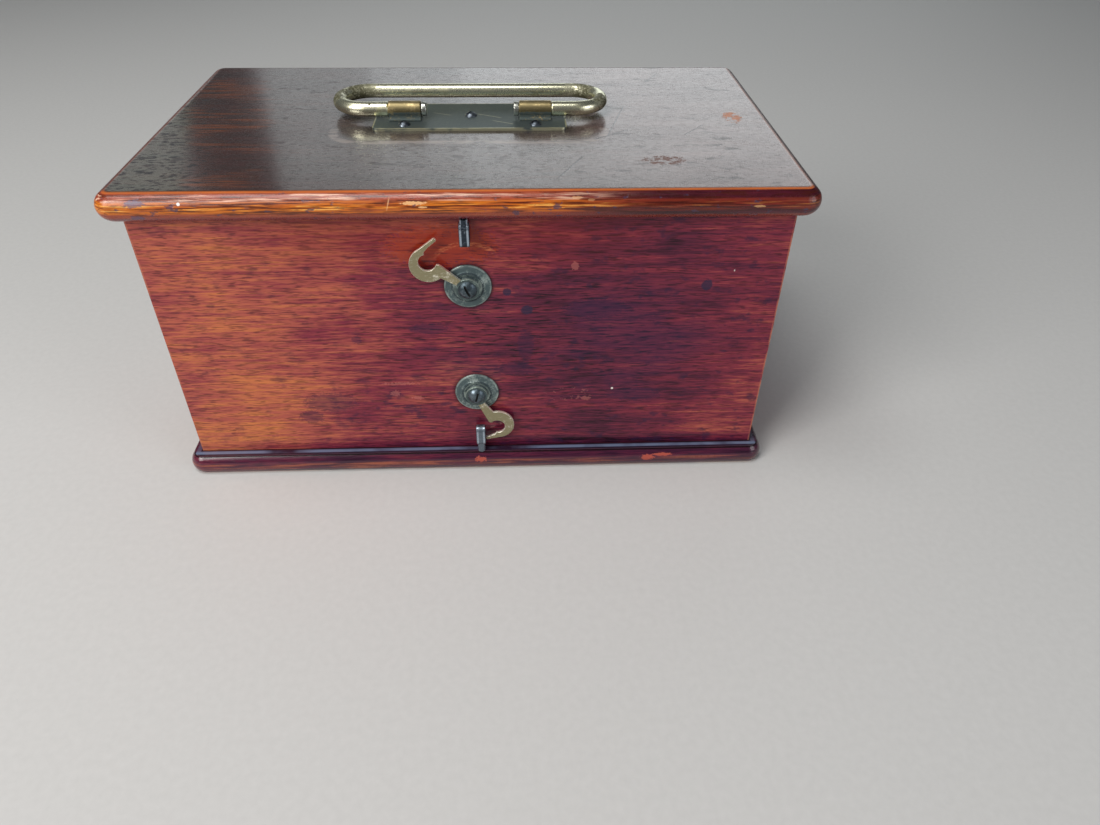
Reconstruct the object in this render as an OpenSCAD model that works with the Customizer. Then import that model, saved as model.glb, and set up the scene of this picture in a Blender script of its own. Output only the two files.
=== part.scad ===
// Wooden money box: a plinth, a case of four boards that tips back on it, and a lid
// with a drop handle. Two swan-neck hooks hold the lid down and the case to the plinth.
// X runs to the right, Y to the back and Z up. The origin is the middle of the plinth's underside.

/* [Case] */
// Width of the case
case_w = 288; // [240:1:340]
// Depth of the case, front to back
case_d = 169.4; // [140:0.1:200]
// Height of the case boards
case_h = 130.2; // [118:0.1:160]
// Thickness of the case boards
board_t = 10; // [9:0.5:12]
// Depth of the rebate that takes the end of each side board
rebate = 5; // [3:0.5:6]

/* [Till floor] */
// Thickness of the floor between the two compartments
floor_t = 6; // [4:0.5:8]
// Height of the floor's underside above the foot of the case
floor_z = 58; // [50:1:66]
// Depth of the floor's housing in the boards
housing = 4; // [2:0.5:5]

/* [Lid] */
// Thickness of the lid, whose edge is a full half round
lid_t = 12.75; // [11:0.25:15]
// Overhang of the lid past the sides of the case
lid_side = 8.5; // [7.5:0.1:12]
// Overhang of the lid past the front and back of the case
lid_front = 8.3; // [7.5:0.1:12]
// Radius of the lid's corners, seen from above
lid_corner = 8; // [7.8:0.1:14]

/* [Plinth] */
// Thickness of the plinth
base_t = 10.7; // [9.5:0.1:14]
// Overhang of the plinth past the case
base_over = 7; // [6.4:0.1:9]
// Width of the flat ledge around the case
ledge = 4.3; // [3.6:0.1:5]
// Drop of the small step at the edge of the ledge
quirk = 0.8; // [0.4:0.1:1.2]
// Width of the flat at the foot of the step
quirk_w = 0.4; // [0.2:0.1:0.8]
// Height of the moulding's widest line above the table
swell_z = 4.7; // [4:0.1:5.5]
// Radius of the plinth's corners, seen from above
base_corner = 8; // [7.5:0.1:12]

/* [Hinges] */
// Length of each butt hinge
hinge_w = 38; // [34:1:50]
// Distance of the middle of each hinge from the end of the case
hinge_in = 59; // [45:1:70]
// Thickness of the hinge leaves
leaf_t = 1.2; // [1:0.1:1.5]
// Reach of a leaf into the board, from the back of the case
leaf_d = 8.5; // [7.5:0.1:9]
// Outer radius of the knuckles
knuckle_r = 2.5; // [2.2:0.1:2.8]
// Radius of the hinge pins
pin_r = 1.2; // [1:0.1:1.4]
// Length of the hinge screws
hinge_screw_l = 7; // [5:0.5:8]

/* [Handle] */
// Length of the handle plate
plate_w = 94; // [90:1:110]
// Depth of the handle plate
plate_d = 36.7; // [32:0.1:42]
// Thickness of the handle plate
plate_t = 1.3; // [1.2:0.1:2]
// Radius of the plate's corners
plate_corner = 3; // [1:0.5:6]
// Distance of the centre of each round end of the bail past the end of the plate
bail_past = 3.85; // [2:0.05:8]
// Distance between the middles of the bail's leg and grip
bail_reach = 28.9; // [26:0.1:34]
// Diameter of the bail's rod
rod_d = 6.8; // [6:0.1:7.4]
// Distance of the bail's pivots in front of the middle of the plate
pivot_y = 4.4; // [3:0.1:6]
// Height of the pivots above the lid
pivot_z = 6.05; // [5.9:0.05:8]
// Distance of the middle of each lug from the end of the plate
lug_end = 15.15; // [12:0.05:18]
// Length of each lug's barrel
lug_w = 15.7; // [12:0.1:18]
// Outer radius of the lug's barrel
lug_r = 3.8; // [3.4:0.1:3.9]
// Radius of the necks that turn in the lugs
neck_r = 2.2; // [1.8:0.1:2.5]
// Radius of the riveted buttons on the necks
button_r = 3.3; // [2.9:0.1:3.6]
// Thickness of the riveted buttons
button_t = 2.6; // [2:0.1:3.5]
// Distance of the outer screws from the long edges of the plate
plate_screw_in = 5.45; // [4.5:0.05:6]
// Length of the plate's screws
plate_screw_l = 10; // [7:0.5:12]

/* [Hooks] */
// Thickness of the hooks
hook_t = 1.5; // [1.2:0.1:1.6]
// Distance from the case to the middle of the hooks and eyes
hook_y = 3.3; // [3.3:0.1:3.8]
// Radius of the round boss at the hook's pivot
boss_r = 5.4; // [5:0.1:5.8]
// Outer radius of the hook's bend
bend_r = 8.3; // [8:0.1:8.6]
// Inner radius of the hook's bend
bend_in = 4; // [3.7:0.1:4.3]
// Radius of the washers under the hooks
washer_r = 10.8; // [9:0.1:12]
// Thickness of the washers at the rim
washer_t = 0.9; // [0.6:0.1:1.2]
// Radius of the hook screws
hook_screw_r = 1.9; // [1.6:0.1:2.2]
// Radius of the hook screws' heads
hook_head_r = 4.3; // [3.6:0.1:4.8]
// Length of the hook screws in the wood
hook_screw_l = 8; // [6:0.5:9]
// Distance from a hook's pivot to the centre of its bend, along the hook
hook_reach = 18.6; // [18:0.1:20]
// Distance from the centre of the bend to the middle of the eye, along the hook
bend_to_eye = 6.65; // [6.2:0.05:7.1]
// Upper hook's pivot, sideways from the middle
upper_x = -0.9; // [-3:0.1:3]
// Extra distance of the upper hook's pivot from its eye, next to the lower hook
upper_more = 1.8; // [1:0.1:2]
// Angle that the released upper hook has swung past its upright place
upper_swing = 25; // [15:1:60]
// Lower hook's pivot, sideways from the middle
lower_x = 0.4; // [-3:0.1:3]

/* [Eyes] */
// Width of the eyes, seen from the front
eye_w = 4.4; // [3.6:0.1:4.8]
// Thickness of the metal round an eye's hole
eye_t = 1.8; // [1.5:0.1:1.9]
// Depth of the hole in an eye, front to back
eye_hole_d = 2.4; // [2.2:0.1:2.6]
// Height of the hole in an eye
eye_hole_h = 7.8; // [7:0.1:9]
// Radius of the neck under an eye
eye_neck_r = 1.9; // [1.5:0.1:2.1]
// Radius of the eyes' shanks in the wood
shank_r = 1; // [0.7:0.1:1.2]
// Length of the eyes' shanks in the wood
shank_l = 7; // [5:0.5:8]
// Distance of the lower eye to the right of its hook's pivot
lower_eye_x = 1; // [0.6:0.1:1.3]
// Height of the lower eye's middle above the plinth
lower_eye_z = 10.4; // [9:0.1:11]
// Distance of the upper eye to the right of its hook's pivot
upper_eye_x = 0; // [-0.5:0.1:0.6]
// Length of the neck between the lid and the upper eye
upper_neck = 1.6; // [1:0.1:3]

/* [Clearances] */
// Gap under the case and under the closed lid
seat = 0.05; // [0.02:0.01:0.2]
// Radial clearance of pins, screws and necks in their bores
run = 0.05; // [0.02:0.01:0.1]
// Gap between knuckles, and between the handle's shoulders and lugs
side_gap = 0.15; // [0.1:0.05:0.3]
// Clearance of the till floor in its housings
floor_fit = 0.1; // [0.05:0.05:0.3]
// Room in the wood around the knuckles
knuckle_room = 0.3; // [0.2:0.05:0.5]
// Distance of the knuckles behind the back of the case
knuckle_back = 0.25; // [0.2:0.05:0.5]
// Gap between the lower hook's tip and its eye
tip_gap = 0.3; // [0.2:0.05:0.6]

/* [Hidden] */
$fn = 64;
over = 0.5;

// Levels and outlines of the wooden parts
foot_z = base_t + seat;
case_top = foot_z + case_h;
lid_z = case_top + seat;
lid_top = lid_z + lid_t;
front_y = -case_d / 2;
back_y = case_d / 2;
lid_w = case_w + 2 * lid_side;
lid_d = case_d + 2 * lid_front;
base_w = case_w + 2 * base_over;
base_d = case_d + 2 * base_over;
inner_w = case_w - 2 * board_t;
inner_d = case_d - 2 * board_t;

// Hinges: the axes lie on the joint planes, just behind the back of the case
axis_y = back_y + knuckle_back + knuckle_r;
foot_axis_z = base_t + seat / 2;
lid_axis_z = case_top + seat / 2;
hinge_x = case_w / 2 - hinge_in;
knuckles = 5;
knuckle_w = (hinge_w - (knuckles - 1) * side_gap) / knuckles;
leaf_front = back_y - leaf_d;
screw_y = back_y - leaf_d / 2;
screw_pitch = hinge_w / 3;

// Countersunk screws
flat_head_r = 2;
flat_head_h = 1.1;
flat_shank_r = 1.1;
round_head_r = 3.1;
round_head_h = 1.9;
round_shank_r = 1.6;
sink_h = 1;
slot_share = 0.5;
flat_slot = 0.6;
round_slot = 0.9;
leaf_slot_turn = 20;
leaf_slot_step = 35;
plate_slot_turn = 40;
dome_fn = 96;

// Handle
rod_r = rod_d / 2;
bail_r = bail_reach / 2;
bail_x = plate_w / 2 + bail_past;
lug_x = plate_w / 2 - lug_end;
plate_screw_y = plate_d / 2 - plate_screw_in;
shoulder_x = lug_x + lug_w / 2 + side_gap;
lug_in = lug_x - lug_w / 2;
button_x = lug_in - side_gap - button_t;
pivot_up = lid_top + pivot_z;
plate_z = lid_top + plate_t;
lug_web_d = 1.6 * lug_r;
lug_foot_d = 8.4;
lug_foot_t = 1.2;
neck_in = 1;

// Hooks and eyes
hook_face = hook_y - hook_t / 2;
hook_gap = 0.08;
washer_h = hook_face - hook_gap;
step_r = 7.2;
step_h = 1.5;
pad_in = 0.4;
hook_head_h = 2.2;
hook_slot = 1.1;
head_in = 0.4;
upper_slot_turn = -65;
lower_slot_turn = 75;
eye_hole_r = eye_hole_d / 2;
eye_r = eye_hole_r + eye_t;
eye_up = eye_hole_h / 2 - eye_hole_r;
eye_half = eye_up + eye_r;
eye_y = front_y - hook_y;
lower_neck = lower_eye_z - eye_half;
pivot_to_eye = hook_reach + bend_to_eye;
upper_z = lid_z - upper_neck - eye_half - pivot_to_eye - upper_more;
lower_z = base_t + lower_eye_z + pivot_to_eye;
upper_pivot = [upper_x, front_y, upper_z];
lower_pivot = [lower_x, front_y, lower_z];

// Outline of a hook below its pivot: the neck, the bend's two centres and the tip. What is
// near the pivot is measured from it, and the rest from the centre of the bend.
neck_left = [-0.5, -3];
neck_right = [2.5, -3];
neck_out = [4.8, -6.2];
bend_at = [9.9, -hook_reach];
notch = bend_at + [-4.4, 2];
notch_in = bend_at + [-3.7, 1.7];
notch_out = bend_at + [-3.3, 2.4];
back_low = bend_at + [-0.3, 6.3];
back_high = bend_at + [-1.7, 7.6];
hollow_at = bend_at + [-0.3, -1.2];
bend_end = bend_at + [-1.9, -10.1];
mouth_x = -2;
limb_start = bend_at + [0.5, -8.25];
limb_in = [bend_at + [-1.9, -6.45], bend_at + [-0.5, -5.6], bend_at + [1.3, -5.8]];
limb_narrow = 5.5;
limb_lap = 0.55;
limb_slope_out = 0.214;
limb_slope_in = 0.226;
limb_drop = 8.6;
tip_cut = 0.5;
tip_slant = 0.1;
upper_tip_x = 0.8;
lower_tip_x = lower_eye_x + eye_w / 2 + tip_gap;
// Heights of the limb's two edges at x
function limb_out_y(x) = limb_start.y + limb_slope_out * (x - limb_start.x);
function limb_in_y(x) = -hook_reach - limb_drop + limb_slope_in * (x - upper_tip_x);

// ---- shared shapes ----

// A board whose edge follows the outline given as a child. The child is drawn from
// X = 0, at the corner's centre, out to the corner radius, with Z = 0 at the underside.
module edged_board(w, d, h, corner) {
    core_w = w - 2 * corner;
    core_d = d - 2 * corner;
    translate([-core_w / 2, -core_d / 2, 0])
        cube([core_w, core_d, h]);
    for (flip = [0, 1]) {
        mirror([flip, 0, 0])
            translate([core_w / 2, core_d / 2, 0])
                rotate([90, 0, 0])
                    linear_extrude(core_d)
                        children();
        mirror([0, flip, 0])
            translate([-core_w / 2, core_d / 2, 0])
                rotate([90, 0, 90])
                    linear_extrude(core_w)
                        children();
        for (flop = [0, 1])
            mirror([flip, 0, 0])
                mirror([0, flop, 0])
                    translate([core_w / 2, core_d / 2, 0])
                        rotate_extrude(angle = 90)
                            children();
    }
}

module lid_edge() {
    r = lid_t / 2;
    square([lid_corner - r, lid_t]);
    intersection() {
        translate([lid_corner - r, r])
            circle(r);
        square([lid_corner, lid_t]);
    }
}

module base_edge() {
    out = base_corner;
    shelf = out - (base_over - ledge);
    shoulder_z = base_t - quirk;
    rise = shoulder_z - swell_z;
    run_in = out - shelf - quirk_w;
    swell_r = (rise * rise + run_in * run_in) / (2 * run_in);
    square([shelf, base_t]);
    intersection() {
        translate([out - swell_r, swell_z])
            circle(swell_r);
        square([out, shoulder_z]);
    }
}

// Slotted screw with a tapered head flush with Z = 0, pointing down
module flat_screw(len, turn) {
    difference() {
        union() {
            translate([0, 0, -flat_head_h])
                cylinder(r1 = flat_shank_r, r2 = flat_head_r, h = flat_head_h);
            translate([0, 0, -len])
                cylinder(r = flat_shank_r, h = len - flat_head_h);
        }
        rotate([0, 0, turn])
            cube([3 * flat_head_r, flat_slot, 2 * slot_share], center = true);
    }
}

module flat_hole(len) {
    translate([0, 0, -flat_head_h])
        cylinder(r1 = flat_shank_r + run, r2 = flat_head_r + run, h = flat_head_h);
    translate([0, 0, -len - over])
        cylinder(r = flat_shank_r + run, h = len + over);
}

// Slotted screw with a domed head that stands on a shallow taper at Z = 0
module round_screw(len, turn) {
    dome_r = (round_head_r * round_head_r + round_head_h * round_head_h) / (2 * round_head_h);
    difference() {
        union() {
            intersection() {
                translate([0, 0, round_head_h - dome_r])
                    sphere(dome_r, $fn = dome_fn);
                cylinder(r = round_head_r, h = round_head_h + over);
            }
            translate([0, 0, -sink_h])
                cylinder(r1 = round_shank_r, r2 = round_head_r, h = sink_h);
            translate([0, 0, -len])
                cylinder(r = round_shank_r, h = len - sink_h);
        }
        translate([0, 0, round_head_h])
            rotate([0, 0, turn])
                cube([3 * round_head_r, round_slot, 2 * slot_share * round_head_h], center = true);
    }
}

module round_hole(len) {
    translate([0, 0, -sink_h])
        cylinder(r1 = round_shank_r + run, r2 = round_head_r + run, h = sink_h);
    translate([0, 0, -len - over])
        cylinder(r = round_shank_r + run, h = len + over);
}

// ---- hinges ----

// Knuckles numbered from 0 at the hinge's left end; each leaf holds every other one
module knuckle_row(first) {
    for (i = [first : 2 : knuckles - 1])
        translate([i * (knuckle_w + side_gap) - hinge_w / 2, 0, 0])
            rotate([0, 90, 0])
                cylinder(r = knuckle_r, h = knuckle_w);
}

// One leaf lying flat at Z = 0 with its axis at Y = 0. It goes up from Z = low for
// side = 1, or down for side = -1. The other leaf's knuckles are cut clear of it.
module leaf(first, side) {
    reach = axis_y - leaf_front;
    plate_low = side > 0 ? seat / 2 : -seat / 2 - leaf_t;
    difference() {
        union() {
            knuckle_row(first);
            translate([-hinge_w / 2, -reach, plate_low])
                cube([hinge_w, reach - knuckle_r - side_gap, leaf_t]);
            for (i = [first : 2 : knuckles - 1])
                translate([i * (knuckle_w + side_gap) - hinge_w / 2, -reach, plate_low])
                    cube([knuckle_w, reach, leaf_t]);
        }
        translate([-hinge_w / 2 - over, 0, 0])
            rotate([0, 90, 0])
                cylinder(r = pin_r + run, h = hinge_w + 2 * over);
        for (s = [-1, 0, 1])
            translate([s * screw_pitch, screw_y - axis_y, side * seat / 2])
                into(side)
                    flat_hole(leaf_t);
    }
}

// Turns what points down so that it points into the wood on this side of the joint
module into(side) {
    mirror([0, 0, side > 0 ? 1 : 0])
        children();
}

// The screws' heads show on the face that meets the other leaf
module leaf_screws(side) {
    for (x = [-hinge_x, hinge_x], s = [-1, 0, 1])
        translate([x + s * screw_pitch, screw_y, side * seat / 2])
            into(side)
                flat_screw(hinge_screw_l, leaf_slot_step * s + leaf_slot_turn);
}

// What a leaf and its screws take out of the wood on its side of the joint
module leaf_bed(side) {
    for (x = [-hinge_x, hinge_x]) {
        translate([x - hinge_w / 2 - run, leaf_front - run, 0])
            into(side)
                translate([0, 0, -leaf_t - run - seat / 2])
                    cube([hinge_w + 2 * run, axis_y - leaf_front, leaf_t + run + seat / 2 + over]);
        translate([x - hinge_w / 2 - knuckle_room, axis_y, 0])
            rotate([0, 90, 0])
                cylinder(r = knuckle_r + knuckle_room, h = hinge_w + 2 * knuckle_room);
        for (s = [-1, 0, 1])
            translate([x + s * screw_pitch, screw_y, 0])
                into(side)
                    translate([0, 0, -hinge_screw_l - over])
                        cylinder(r = flat_shank_r + run, h = hinge_screw_l + over);
    }
}

module hinge_pin() {
    translate([-hinge_w / 2, 0, 0])
        rotate([0, 90, 0])
            cylinder(r = pin_r, h = hinge_w);
}

module at_hinge(side, z) {
    translate([side * hinge_x, axis_y, z])
        children();
}

// ---- plinth ----

module base_board() {
    color("#7a3236")
        difference() {
            edged_board(base_w, base_d, base_t, base_corner)
                base_edge();
            translate([0, 0, foot_axis_z])
                leaf_bed(-1);
            translate([lower_x + lower_eye_x, eye_y, base_t - shank_l - over])
                cylinder(r = shank_r + run, h = shank_l + 2 * over);
        }
}

// A tall round-ended outline centred on the middle of an eye
module eye_outline(r) {
    square([2 * r, 2 * eye_up], center = true);
    for (side = [-1, 1])
        translate([0, side * eye_up])
            circle(r);
}

// An eye standing on Z = 0: a neck and a flat band bent round a tall hole
module screw_eye(neck) {
    cylinder(r = eye_neck_r, h = neck + eye_t / 2);
    translate([0, 0, -shank_l])
        cylinder(r = shank_r, h = shank_l + neck / 2);
    translate([0, 0, neck + eye_half])
        rotate([90, 0, 90])
            linear_extrude(eye_w, center = true)
                difference() {
                    eye_outline(eye_r);
                    eye_outline(eye_hole_r);
                }
}

module lower_eye() {
    color("#8d939c")
        translate([lower_x + lower_eye_x, eye_y, base_t])
            screw_eye(lower_neck);
}

module base_hinge_leaf(side) {
    color("#b0995c")
        at_hinge(side, foot_axis_z)
            leaf(1, -1);
}

module base_hinge_screws() {
    color("#9b8a5a")
        translate([0, 0, foot_axis_z])
            leaf_screws(-1);
}

// ---- case ----

// Front or back board with its outer face at Y = 0 and its inner face at Y = board_t
module end_board() {
    difference() {
        translate([-case_w / 2, 0, 0])
            cube([case_w, board_t, case_h]);
        for (side = [-1, 1])
            translate([side * (case_w + over) / 2, board_t, case_h / 2])
                cube([2 * board_t + over, 2 * rebate, case_h + 2 * over], center = true);
        translate([-inner_w / 2 - over, board_t - housing, floor_z])
            cube([inner_w + 2 * over, housing + over, floor_t]);
    }
}

module front_board() {
    color("#8a3b33")
        difference() {
            translate([0, front_y, foot_z])
                end_board();
            for (pivot = [upper_pivot, lower_pivot])
                translate(pivot + [0, -over, 0])
                    rotate([-90, 0, 0])
                        cylinder(r = hook_screw_r + run, h = hook_screw_l + 2 * over);
        }
}

module back_board() {
    color("#7d352f")
        difference() {
            translate([0, back_y, foot_z])
                rotate([0, 0, 180])
                    end_board();
            translate([0, 0, foot_axis_z])
                leaf_bed(1);
            translate([0, 0, lid_axis_z])
                leaf_bed(-1);
        }
}

module side_board(side) {
    len = case_d - 2 * (board_t - rebate);
    color("#84382f")
        difference() {
            translate([side * (case_w - board_t) / 2, 0, foot_z + case_h / 2])
                cube([board_t, len, case_h], center = true);
            translate([side * (inner_w / 2 + housing / 2 - over / 2), 0, foot_z + floor_z + floor_t / 2])
                cube([housing + over, len + 2 * over, floor_t], center = true);
        }
}

module till_floor() {
    w = inner_w + 2 * (housing - floor_fit);
    d = inner_d + 2 * (housing - floor_fit);
    color("#a5643f")
        translate([-w / 2, -d / 2, foot_z + floor_z + floor_fit / 2])
            cube([w, d, floor_t - floor_fit]);
}

module case_foot_leaf(side) {
    color("#b0995c")
        at_hinge(side, foot_axis_z)
            leaf(0, 1);
}

module case_foot_screws() {
    color("#9b8a5a")
        translate([0, 0, foot_axis_z])
            leaf_screws(1);
}

module case_top_leaf(side) {
    color("#b0995c")
        at_hinge(side, lid_axis_z)
            leaf(0, -1);
}

module case_top_screws() {
    color("#9b8a5a")
        translate([0, 0, lid_axis_z])
            leaf_screws(-1);
}

module foot_hinge_pin(side) {
    color("#8c7a48")
        at_hinge(side, foot_axis_z)
            hinge_pin();
}

module lid_hinge_pin(side) {
    color("#8c7a48")
        at_hinge(side, lid_axis_z)
            hinge_pin();
}

// ---- hooks ----

module hook_outline() {
    circle(boss_r);
    polygon([neck_left, notch, notch_out, back_low, back_high, neck_out, neck_right]);
    difference() {
        translate(bend_at)
            circle(bend_r);
        translate(hollow_at)
            circle(bend_in);
        polygon([
            [mouth_x, bend_end.y], bend_end, hollow_at, notch_in, notch, neck_left,
            [mouth_x, neck_left.y]]);
    }
}

// The limb runs on from the bend and tapers to its tip
module hook_tip(tip_x) {
    polygon([
        [limb_in[2].x, limb_start.y + limb_lap], limb_start, [tip_x + tip_cut, limb_out_y(tip_x + tip_cut)],
        [tip_x, (limb_out_y(tip_x) + limb_in_y(tip_x)) / 2],
        [tip_x + tip_slant, limb_in_y(tip_x) - tip_slant],
        [limb_narrow, limb_in_y(limb_narrow)], limb_in[0], limb_in[1], limb_in[2]]);
}

// The hook hangs from its pivot with its tip to the left and its back at hook_face
module hook(tip_x) {
    translate([0, -hook_face, 0])
        rotate([90, 0, 0])
            difference() {
                union() {
                    linear_extrude(hook_t)
                        hook_outline();
                    linear_extrude(hook_t)
                        hook_tip(tip_x);
                }
                translate([0, 0, -over])
                    cylinder(r = hook_screw_r + run, h = hook_t + 2 * over);
            }
}

module upper_hook() {
    color("#c8b98a")
        translate(upper_pivot)
            rotate([0, 180 - upper_swing, 0])
                hook(upper_tip_x);
}

module lower_hook() {
    color("#c8b98a")
        translate(lower_pivot)
            hook(lower_tip_x);
}

module hook_washer() {
    rotate([90, 0, 0])
        difference() {
            union() {
                cylinder(r = washer_r, h = washer_t);
                cylinder(r = step_r, h = step_h);
                cylinder(r = boss_r - pad_in, h = washer_h);
            }
            translate([0, 0, -over])
                cylinder(r = hook_screw_r + run, h = washer_h + 2 * over);
        }
}

module hook_screw(turn) {
    under_head = hook_face + hook_t + hook_gap;
    dome_r = (hook_head_r * hook_head_r + hook_head_h * hook_head_h) / (2 * hook_head_h);
    rotate([90, 0, 0])
        difference() {
            union() {
                translate([0, 0, -hook_screw_l])
                    cylinder(r = hook_screw_r, h = hook_screw_l + under_head + head_in);
                translate([0, 0, under_head])
                    intersection() {
                        translate([0, 0, hook_head_h - dome_r])
                            sphere(dome_r, $fn = dome_fn);
                        cylinder(r = hook_head_r, h = hook_head_h + over);
                    }
            }
            translate([0, 0, under_head + hook_head_h])
                rotate([0, 0, turn])
                    cube([3 * hook_head_r, hook_slot, hook_head_h], center = true);
        }
}

module upper_hook_washer() {
    color("#59605c")
        translate(upper_pivot)
            hook_washer();
}

module lower_hook_washer() {
    color("#59605c")
        translate(lower_pivot)
            hook_washer();
}

module upper_hook_screw() {
    color("#6f7377")
        translate(upper_pivot)
            hook_screw(upper_slot_turn);
}

module lower_hook_screw() {
    color("#6f7377")
        translate(lower_pivot)
            hook_screw(lower_slot_turn);
}

// ---- lid ----

module handle_screw_places() {
    for (x = [-lug_x, lug_x], y = [-plate_screw_y, plate_screw_y])
        translate([x, y, plate_z])
            children();
    translate([0, 0, plate_z])
        children();
}

module lid_board() {
    color("#6d3234")
        difference() {
            translate([0, 0, lid_z])
                edged_board(lid_w, lid_d, lid_t, lid_corner)
                    lid_edge();
            translate([0, 0, lid_axis_z])
                leaf_bed(1);
            translate([upper_x + upper_eye_x, eye_y, lid_z - over])
                cylinder(r = shank_r + run, h = shank_l + 2 * over);
            handle_screw_places()
                translate([0, 0, -plate_screw_l - over])
                    cylinder(r = round_shank_r + run, h = plate_screw_l + over);
        }
}

module lid_hinge_leaf(side) {
    color("#b0995c")
        at_hinge(side, lid_axis_z)
            leaf(1, 1);
}

module lid_hinge_screws() {
    color("#9b8a5a")
        translate([0, 0, lid_axis_z])
            leaf_screws(1);
}

module upper_eye() {
    color("#4a4d52")
        translate([upper_x + upper_eye_x, eye_y, lid_z])
            mirror([0, 0, 1])
                screw_eye(upper_neck);
}

// ---- handle ----

module handle_plate() {
    color("#5b6054")
        difference() {
            translate([0, 0, lid_top]) {
                for (x = [-1, 1], y = [-1, 1])
                    translate([x * (plate_w / 2 - plate_corner), y * (plate_d / 2 - plate_corner), 0])
                        cylinder(r = plate_corner, h = plate_t);
                translate([0, 0, plate_t / 2]) {
                    cube([plate_w - 2 * plate_corner, plate_d, plate_t], center = true);
                    cube([plate_w, plate_d - 2 * plate_corner, plate_t], center = true);
                }
            }
            handle_screw_places()
                round_hole(plate_t + over);
        }
}

module handle_lug(side) {
    stand = pivot_z - plate_t;
    color("#8f8257")
        translate([side * lug_x, -pivot_y, plate_z])
            difference() {
                union() {
                    translate([-lug_w / 2, 0, stand])
                        rotate([0, 90, 0])
                            cylinder(r = lug_r, h = lug_w);
                    translate([-lug_w / 2, -lug_web_d / 2, 0])
                        cube([lug_w, lug_web_d, stand]);
                    translate([-lug_w / 2, -lug_foot_d / 2, 0])
                        cube([lug_w, lug_foot_d, lug_foot_t]);
                }
                translate([-lug_w / 2 - over, 0, stand])
                    rotate([0, 90, 0])
                        cylinder(r = neck_r + run, h = lug_w + 2 * over);
            }
}

module handle_screws() {
    color("#54575c")
        handle_screw_places()
            round_screw(plate_screw_l, plate_slot_turn);
}

// The bail lies back: its legs turn on the pivots and its grip is behind them
module handle_bail() {
    color("#c9bd96")
        translate([0, -pivot_y, pivot_up]) {
            translate([-bail_x, bail_reach, 0])
                rotate([0, 90, 0])
                    cylinder(r = rod_r, h = 2 * bail_x);
            for (side = [0, 1])
                mirror([side, 0, 0]) {
                    translate([bail_x, bail_r, 0])
                        rotate([0, 0, -90])
                            rotate_extrude(angle = 180)
                                translate([bail_r, 0])
                                    circle(rod_r);
                    translate([shoulder_x, 0, 0])
                        rotate([0, 90, 0])
                            cylinder(r = rod_r, h = bail_x - shoulder_x);
                    translate([button_x, 0, 0])
                        rotate([0, 90, 0])
                            cylinder(r = neck_r, h = shoulder_x - button_x + neck_in);
                }
        }
}

module bail_button(side) {
    color("#a9aaa4")
        translate([side * (button_x + button_t / 2), -pivot_y, pivot_up])
            rotate([0, 90, 0])
                difference() {
                    cylinder(r = button_r, h = button_t, center = true);
                    cylinder(r = neck_r + run, h = button_t + 2 * over, center = true);
                }
}

base_board();
lower_eye();
base_hinge_leaf(-1);  // base_hinge_leaf_left
base_hinge_leaf(1);  // base_hinge_leaf_right
base_hinge_screws();
front_board();
back_board();
side_board(-1);  // left_board
side_board(1);  // right_board
till_floor();
case_foot_leaf(-1);  // case_foot_leaf_left
case_foot_leaf(1);  // case_foot_leaf_right
case_foot_screws();
case_top_leaf(-1);  // case_top_leaf_left
case_top_leaf(1);  // case_top_leaf_right
case_top_screws();
foot_hinge_pin(-1);  // foot_hinge_pin_left
foot_hinge_pin(1);  // foot_hinge_pin_right
lid_hinge_pin(-1);  // lid_hinge_pin_left
lid_hinge_pin(1);  // lid_hinge_pin_right
upper_hook_washer();
upper_hook_screw();
lower_hook_washer();
lower_hook_screw();
upper_hook();
lower_hook();
lid_board();
lid_hinge_leaf(-1);  // lid_hinge_leaf_left
lid_hinge_leaf(1);  // lid_hinge_leaf_right
lid_hinge_screws();
upper_eye();
handle_plate();
handle_lug(-1);  // handle_lug_left
handle_lug(1);  // handle_lug_right
handle_screws();
handle_bail();
bail_button(-1);  // bail_button_left
bail_button(1);  // bail_button_right
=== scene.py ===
import functools
import math

import bpy
from mathutils import Matrix, Vector


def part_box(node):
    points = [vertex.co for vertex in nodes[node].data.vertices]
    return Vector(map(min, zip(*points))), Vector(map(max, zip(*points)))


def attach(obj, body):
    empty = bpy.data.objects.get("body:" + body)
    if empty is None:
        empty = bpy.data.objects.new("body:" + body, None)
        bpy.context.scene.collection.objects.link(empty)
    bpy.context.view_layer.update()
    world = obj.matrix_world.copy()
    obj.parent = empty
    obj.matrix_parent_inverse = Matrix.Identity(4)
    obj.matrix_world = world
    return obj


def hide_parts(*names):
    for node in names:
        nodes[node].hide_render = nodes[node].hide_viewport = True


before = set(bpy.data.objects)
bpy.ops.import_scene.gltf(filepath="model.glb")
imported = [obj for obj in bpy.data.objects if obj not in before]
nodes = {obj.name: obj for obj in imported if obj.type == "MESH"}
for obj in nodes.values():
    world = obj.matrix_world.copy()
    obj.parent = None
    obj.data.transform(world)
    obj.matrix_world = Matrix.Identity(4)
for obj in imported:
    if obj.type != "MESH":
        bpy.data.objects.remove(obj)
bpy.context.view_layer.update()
MM = 0.001


# ---- values and links ----

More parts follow.
